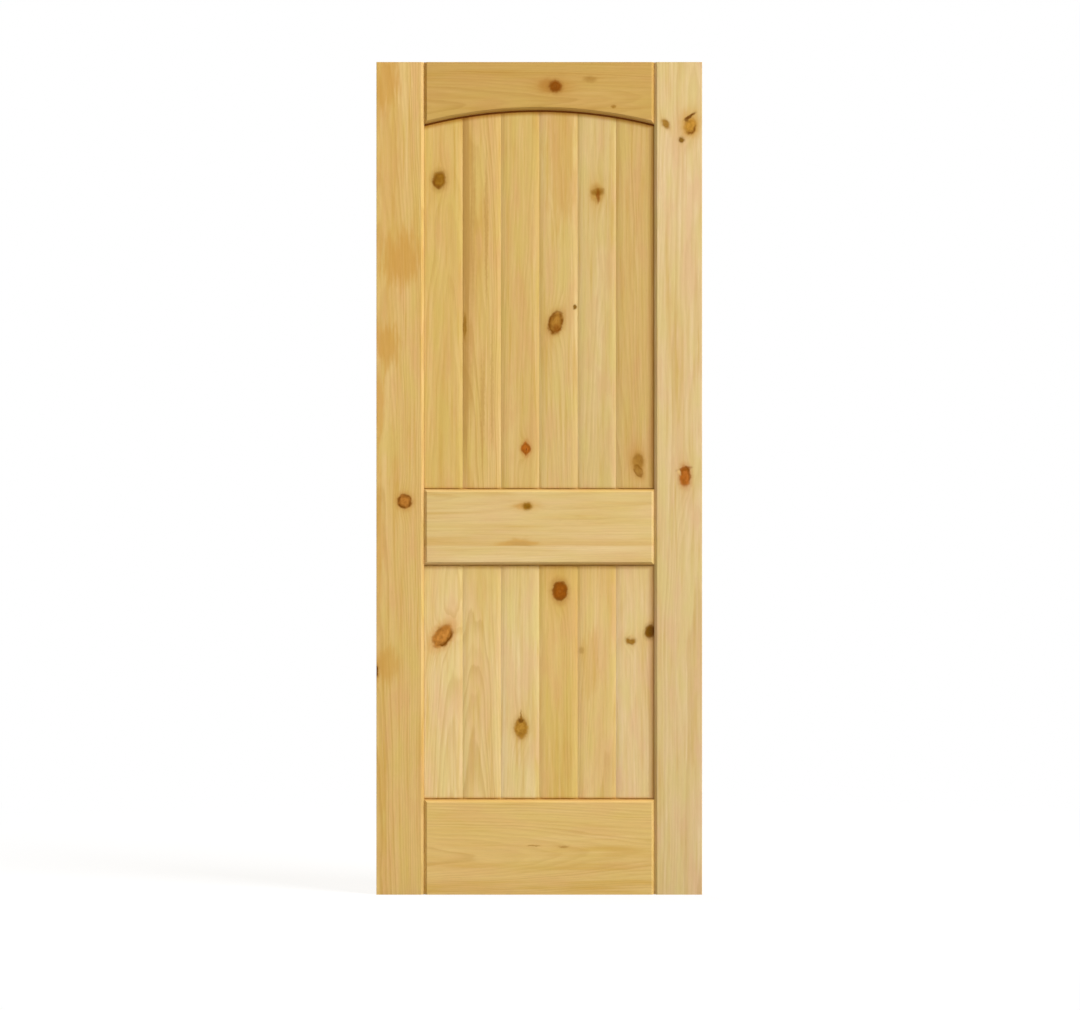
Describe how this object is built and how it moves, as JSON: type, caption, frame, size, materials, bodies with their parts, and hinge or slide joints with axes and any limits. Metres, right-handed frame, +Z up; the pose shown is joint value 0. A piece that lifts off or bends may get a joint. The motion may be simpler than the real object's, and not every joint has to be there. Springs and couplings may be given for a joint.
{
  "type": "arched panel door",
  "caption": "Flat knotty pine door slab that closes a doorway: stiles and rails with bevelled edges and an arched top rail, round recessed panels of jointed planks.",
  "frame": {"origin": "on the hinge edge's face, at the bottom of the door and in the middle of its thickness", "axes": "+X across the door to the lock edge, +Y from the front face through to the back face, +Z up"},
  "size_m": [0.795, 0.035, 2.032],
  "materials": {
    "pine_stile": "clear satin lacquer",
    "pine_rail": "clear satin lacquer",
    "pine_plank": "clear satin lacquer"
  },
  "bodies": {
    "root": {"hinge_stile": "pine_stile", "lock_stile": "pine_stile", "top_rail": "pine_rail", "lock_rail": "pine_rail", "bottom_rail": "pine_rail", "lower_plank_1": "pine_plank", "lower_plank_2": "pine_plank", "lower_plank_3": "pine_plank", "lower_plank_4": "pine_plank", "lower_plank_5": "pine_plank", "lower_plank_6": "pine_plank", "upper_plank_1": "pine_plank", "upper_plank_2": "pine_plank", "upper_plank_3": "pine_plank", "upper_plank_4": "pine_plank", "upper_plank_5": "pine_plank", "upper_plank_6": "pine_plank"}
  },
  "joints": []
}
